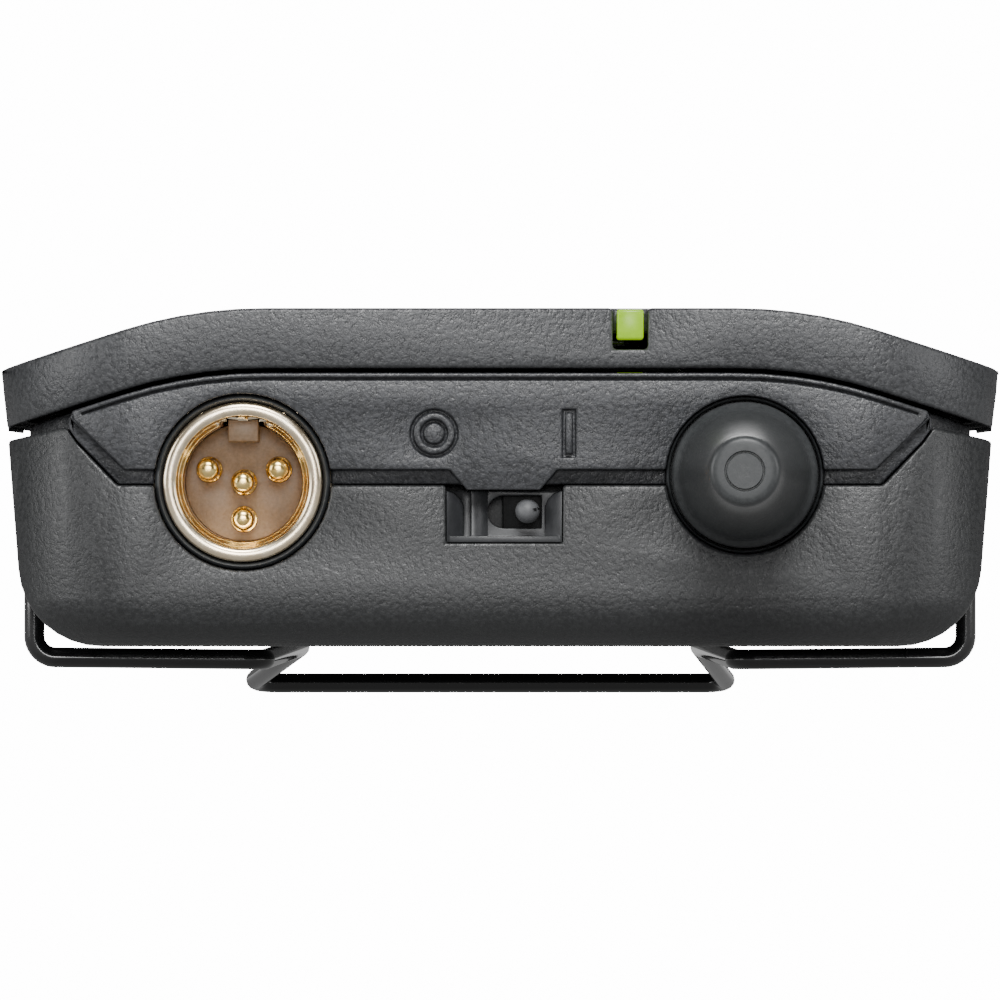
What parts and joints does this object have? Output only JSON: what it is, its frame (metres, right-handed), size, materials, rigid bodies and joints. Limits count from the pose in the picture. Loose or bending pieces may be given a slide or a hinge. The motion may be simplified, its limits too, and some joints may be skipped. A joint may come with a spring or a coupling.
{
  "type": "wireless bodypack transmitter",
  "caption": "Belt-worn wireless microphone transmitter with a hinged front cover, stub antenna, four-contact socket, slide switch and wire clip.",
  "frame": {"origin": "middle of the flat back face", "axes": "+Z out of the front face, +Y towards the hinged bottom end, -Y towards the antenna and socket end, X across the pack"},
  "size_m": [0.064, 0.165, 0.0257],
  "materials": {
    "shell_abs": "fine-textured moulded ABS",
    "frame_abs": "fine-textured moulded ABS",
    "cover_abs": "fine-textured moulded ABS",
    "button_abs": "satin moulded ABS",
    "rubber_black": "matt moulded rubber",
    "wire_black": "gloss black coated spring steel",
    "plated_nickel": "warm nickel plate",
    "insulator_brown": "moulded insulator",
    "gold_plate": "gold plate",
    "steel": "bright steel",
    "brass": "turned brass",
    "board_green": "solder mask over glass fibre board",
    "chip_black": "moulded epoxy",
    "lens_green": "translucent acrylic",
    "window_smoke": "smoked acrylic",
    "label_grey": "blank satin plate",
    "cap_white": "moulded keycap plastic",
    "trimmer_blue": "moulded component case",
    "cell_jacket": "printed film jacket",
    "capacitor_blue": "shrink sleeve"
  },
  "bodies": {
    "housing": {"rear_shell": "shell_abs", "inner_frame": "frame_abs", "hinge_pin": "steel", "socket_barrel": "plated_nickel", "socket_insulator": "insulator_brown", "socket_contacts": "gold_plate", "socket_nut": "steel", "socket_gasket": "rubber_black", "antenna_gasket": "rubber_black", "antenna_sheath": "rubber_black", "antenna_whip": "brass", "antenna_ferrule": "rubber_black", "antenna_contact": "gold_plate", "switch_guide": "button_abs", "switch_body": "chip_black", "main_board": "board_green", "control_board": "board_green", "board_header": "chip_black", "segment_display": "chip_black", "tact_switches": "chip_black", "trimmer_body": "trimmer_blue", "led_board": "board_green", "status_led": "lens_green", "rf_shield": "steel", "processor_chip": "chip_black", "audio_chip": "chip_black", "capacitors": "capacitor_blue", "crystal_can": "steel", "battery_left": "cell_jacket", "battery_right": "cell_jacket", "battery_springs": "steel", "battery_plates": "steel", "battery_link": "steel", "housing_screws": "chip_black", "board_screws": "steel"},
    "cover": {"front_cover": "cover_abs", "display_window": "window_smoke", "label_plate": "label_grey", "light_pipe": "lens_green"},
    "left_latch": {"latch_left": "button_abs"},
    "right_latch": {"latch_right": "button_abs"},
    "clip": {"belt_clip": "wire_black"},
    "power_slider": {"switch_slider": "button_abs"},
    "group_cap": {"group_button": "cap_white"},
    "channel_cap": {"channel_button": "cap_white"},
    "gain_knob": {"gain_rotor": "cap_white"}
  },
  "joints": [
    {"name": "cover_hinge", "type": "hinge", "parent": "housing", "child": "cover", "pos_m": [0, 0.0526, 0.0156], "axis": [-1, 0, 0], "range_deg": [0, 90]},
    {"name": "left_latch_press", "type": "slide", "parent": "cover", "child": "left_latch", "axis": [1, 0, 0], "range_m": [0, 0.001], "stiffness_N_per_m": 2000},
    {"name": "right_latch_press", "type": "slide", "parent": "cover", "child": "right_latch", "axis": [-1, 0, 0], "range_m": [0, 0.001], "stiffness_N_per_m": 2000},
    {"name": "clip_pivot", "type": "hinge", "parent": "housing", "child": "clip", "pos_m": [0, -0.03, 0.007], "axis": [-1, 0, 0], "range_deg": [0, 6], "stiffness_Nm_per_rad": 2},
    {"name": "power_switch", "type": "slide", "parent": "housing", "child": "power_slider", "axis": [1, 0, 0], "range_m": [-0.0018, 0]},
    {"name": "group_press", "type": "slide", "parent": "housing", "child": "group_cap", "axis": [0, 0, -1], "range_m": [0, 0.0004], "stiffness_N_per_m": 2000},
    {"name": "channel_press", "type": "slide", "parent": "housing", "child": "channel_cap", "axis": [0, 0, -1], "range_m": [0, 0.0004], "stiffness_N_per_m": 2000},
    {"name": "gain_turn", "type": "hinge", "parent": "housing", "child": "gain_knob", "pos_m": [0.012, -0.024, 0.017], "axis": [0, 0, 1], "range_deg": [-135, 135]}
  ]
}
